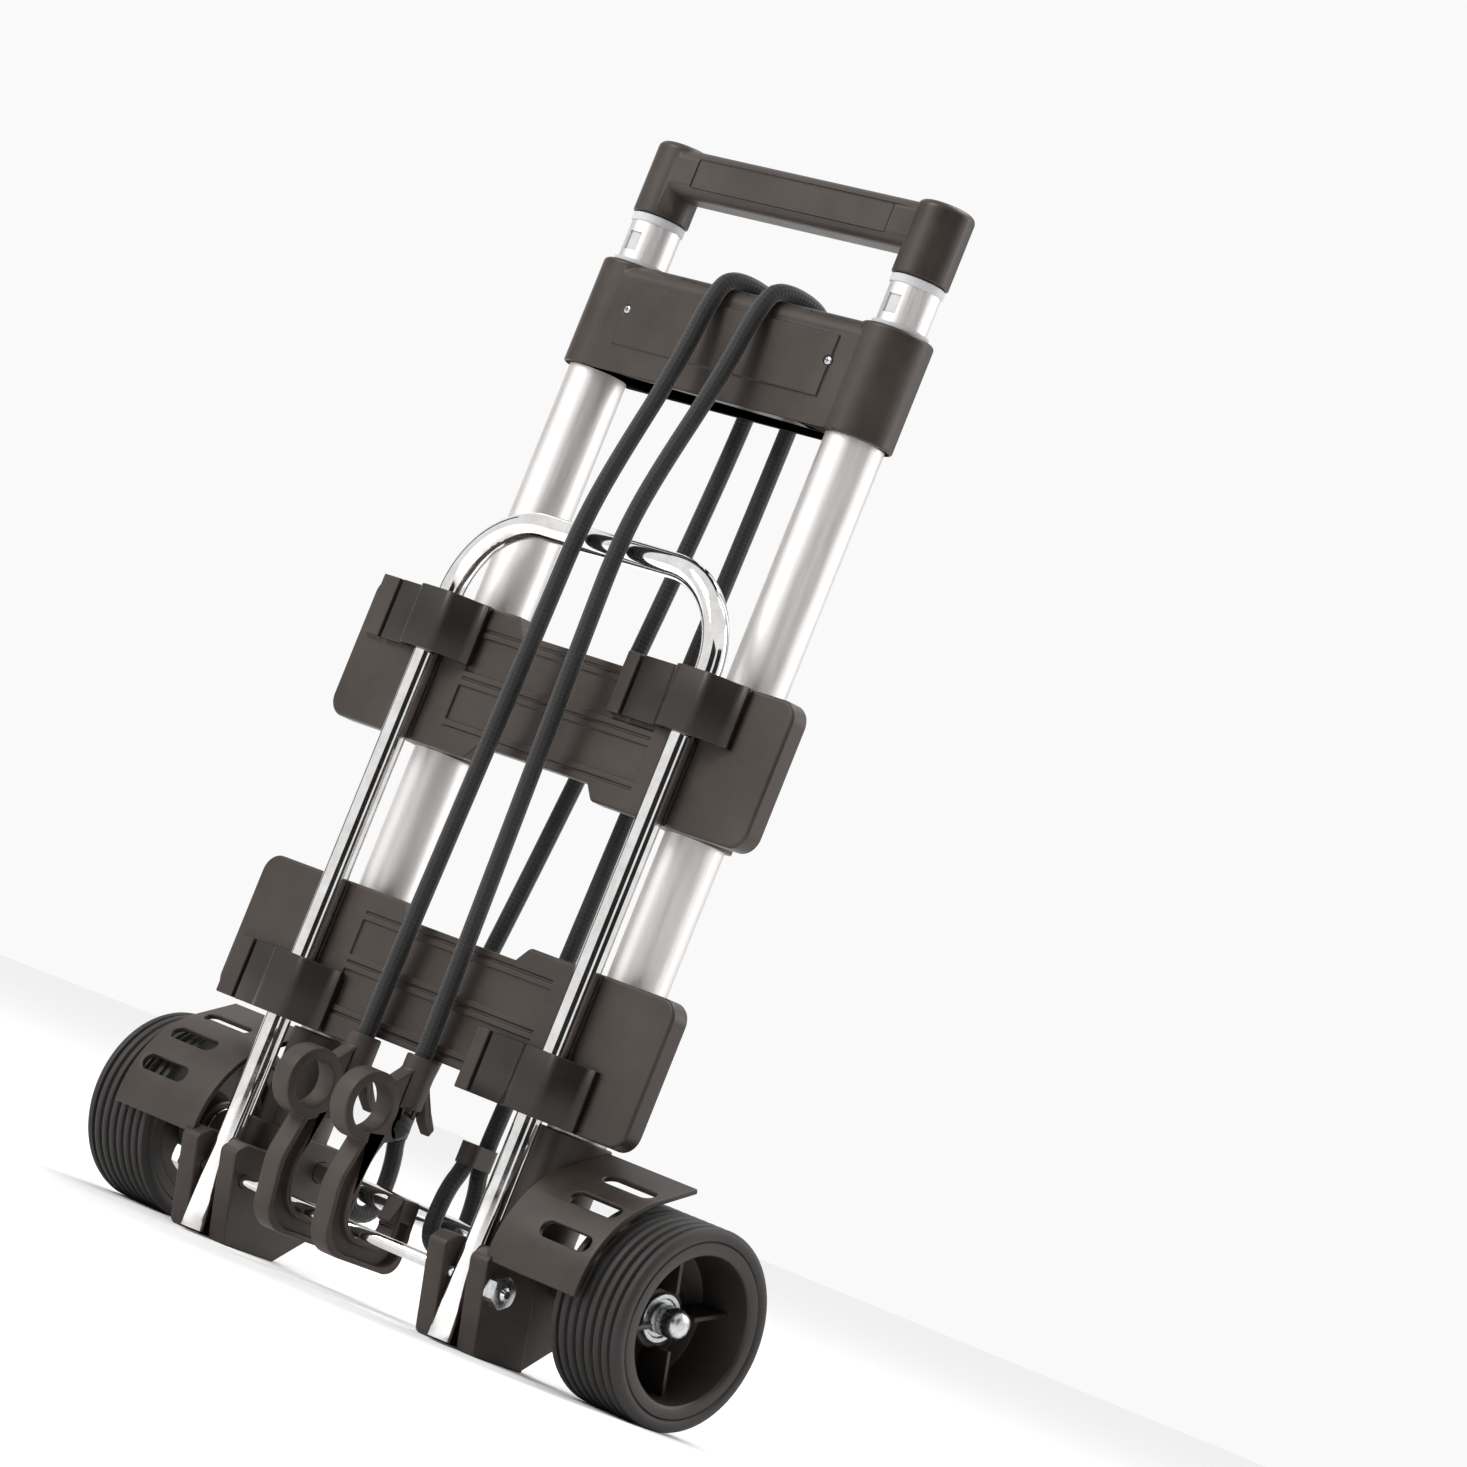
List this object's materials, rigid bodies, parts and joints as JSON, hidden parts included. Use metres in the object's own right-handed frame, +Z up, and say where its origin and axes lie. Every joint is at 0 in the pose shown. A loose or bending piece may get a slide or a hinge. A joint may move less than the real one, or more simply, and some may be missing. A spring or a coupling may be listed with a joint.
{
  "type": "folding luggage cart",
  "caption": "Folded two-wheel luggage cart with telescoping tube handle, chromed fold-down toe bar held by strap clips, and elastic cords with hooks.",
  "frame": {"origin": "on the floor under the middle of the folded cart, in width and in depth, cords and hooks left out", "axes": "+Z up along the tubes, +X to the side along the axle, -Y to the front where the toe bar folds down"},
  "size_m": [0.359, 0.1279, 0.5448],
  "materials": {
    "anodised_tube": "satin anodised",
    "black_plastic": "fine moulded texture",
    "strap_plastic": "fine moulded texture",
    "hook_plastic": "moulded, slightly satin",
    "grey_plastic": "satin",
    "catch_plastic": "matte",
    "chrome_steel": "bright chrome plate",
    "zinc_steel": "zinc plate",
    "tyre_rubber": "soft rubber",
    "wheel_plastic": "moulded",
    "braided_cord": "braided textile sleeve"
  },
  "bodies": {
    "frame": {"axle": "chrome_steel", "axle_caps": "zinc_steel", "axle_washers": "zinc_steel", "base_block_left": "black_plastic", "base_block_right": "black_plastic", "block_screws": "zinc_steel", "cord_crimps": "black_plastic", "cord_hook_left": "hook_plastic", "cord_hook_right": "hook_plastic", "cord_knots": "braided_cord", "elastic_cord_left": "braided_cord", "elastic_cord_right": "braided_cord", "fender_left": "black_plastic", "fender_right": "black_plastic", "lower_cross_piece": "black_plastic", "lower_screws": "zinc_steel", "lower_strap_left": "strap_plastic", "lower_strap_right": "strap_plastic", "mid_cross_piece": "black_plastic", "mid_screws": "zinc_steel", "mid_strap_left": "strap_plastic", "mid_strap_right": "strap_plastic", "outer_bush_left": "grey_plastic", "outer_bush_right": "grey_plastic", "outer_tube_left": "anodised_tube", "outer_tube_right": "anodised_tube", "pivot_bolt": "chrome_steel", "pivot_nut": "zinc_steel", "upper_cross_piece": "black_plastic", "upper_screws": "zinc_steel"},
    "wheel_left": {"tyre_left": "tyre_rubber", "rim_left": "wheel_plastic", "wheel_bush_left": "wheel_plastic"},
    "wheel_right": {"tyre_right": "tyre_rubber", "rim_right": "wheel_plastic", "wheel_bush_right": "wheel_plastic"},
    "toe_bar": {"toe_bar": "chrome_steel"},
    "middle_stage": {"middle_tube_left": "anodised_tube", "middle_tube_right": "anodised_tube", "collar_left": "grey_plastic", "collar_right": "grey_plastic", "middle_foot_left": "catch_plastic", "middle_foot_right": "catch_plastic"},
    "handle_stage": {"inner_tube_left": "anodised_tube", "inner_tube_right": "anodised_tube", "inner_foot_left": "catch_plastic", "inner_foot_right": "catch_plastic", "grip_front": "black_plastic", "grip_back": "black_plastic", "grip_screws": "zinc_steel"},
    "middle_catch_left": {"middle_catch_left": "catch_plastic"},
    "middle_catch_right": {"middle_catch_right": "catch_plastic"},
    "inner_catch_left": {"inner_catch_left": "catch_plastic"},
    "inner_catch_right": {"inner_catch_right": "catch_plastic"}
  },
  "joints": [
    {"name": "toe_bar_fold", "type": "hinge", "parent": "frame", "child": "toe_bar", "pos_m": [0, -0.0388, 0.03], "axis": [1, 0, 0], "range_deg": [0, 90], "deforming": ["mid_strap_left", "mid_strap_right", "lower_strap_left", "lower_strap_right", "elastic_cord_left", "elastic_cord_right"]},
    {"name": "wheel_left_spin", "type": "hinge", "parent": "frame", "child": "wheel_left", "pos_m": [-0.146, 0.0044, 0.0455], "axis": [1, 0, 0], "continuous": true},
    {"name": "wheel_right_spin", "type": "hinge", "parent": "frame", "child": "wheel_right", "pos_m": [0.146, 0.0044, 0.0455], "axis": [1, 0, 0], "continuous": true},
    {"name": "middle_slide", "type": "slide", "parent": "frame", "child": "middle_stage", "axis": [0, 0, 1], "range_m": [0, 0.29]},
    {"name": "handle_slide", "type": "slide", "parent": "middle_stage", "child": "handle_stage", "axis": [0, 0, 1], "range_m": [0, 0.26]},
    {"name": "middle_catch_left_press", "type": "slide", "parent": "middle_stage", "child": "middle_catch_left", "axis": [0, 1, 0], "range_m": [0, 0.0025], "stiffness_N_per_m": 400, "springref_m": -0.001},
    {"name": "middle_catch_right_press", "type": "slide", "parent": "middle_stage", "child": "middle_catch_right", "axis": [0, 1, 0], "range_m": [0, 0.0025], "stiffness_N_per_m": 400, "springref_m": -0.001},
    {"name": "inner_catch_left_press", "type": "slide", "parent": "handle_stage", "child": "inner_catch_left", "axis": [0, 1, 0], "range_m": [0, 0.0025], "stiffness_N_per_m": 400, "springref_m": -0.001},
    {"name": "inner_catch_right_press", "type": "slide", "parent": "handle_stage", "child": "inner_catch_right", "axis": [0, 1, 0], "range_m": [0, 0.0025], "stiffness_N_per_m": 400, "springref_m": -0.001}
  ]
}
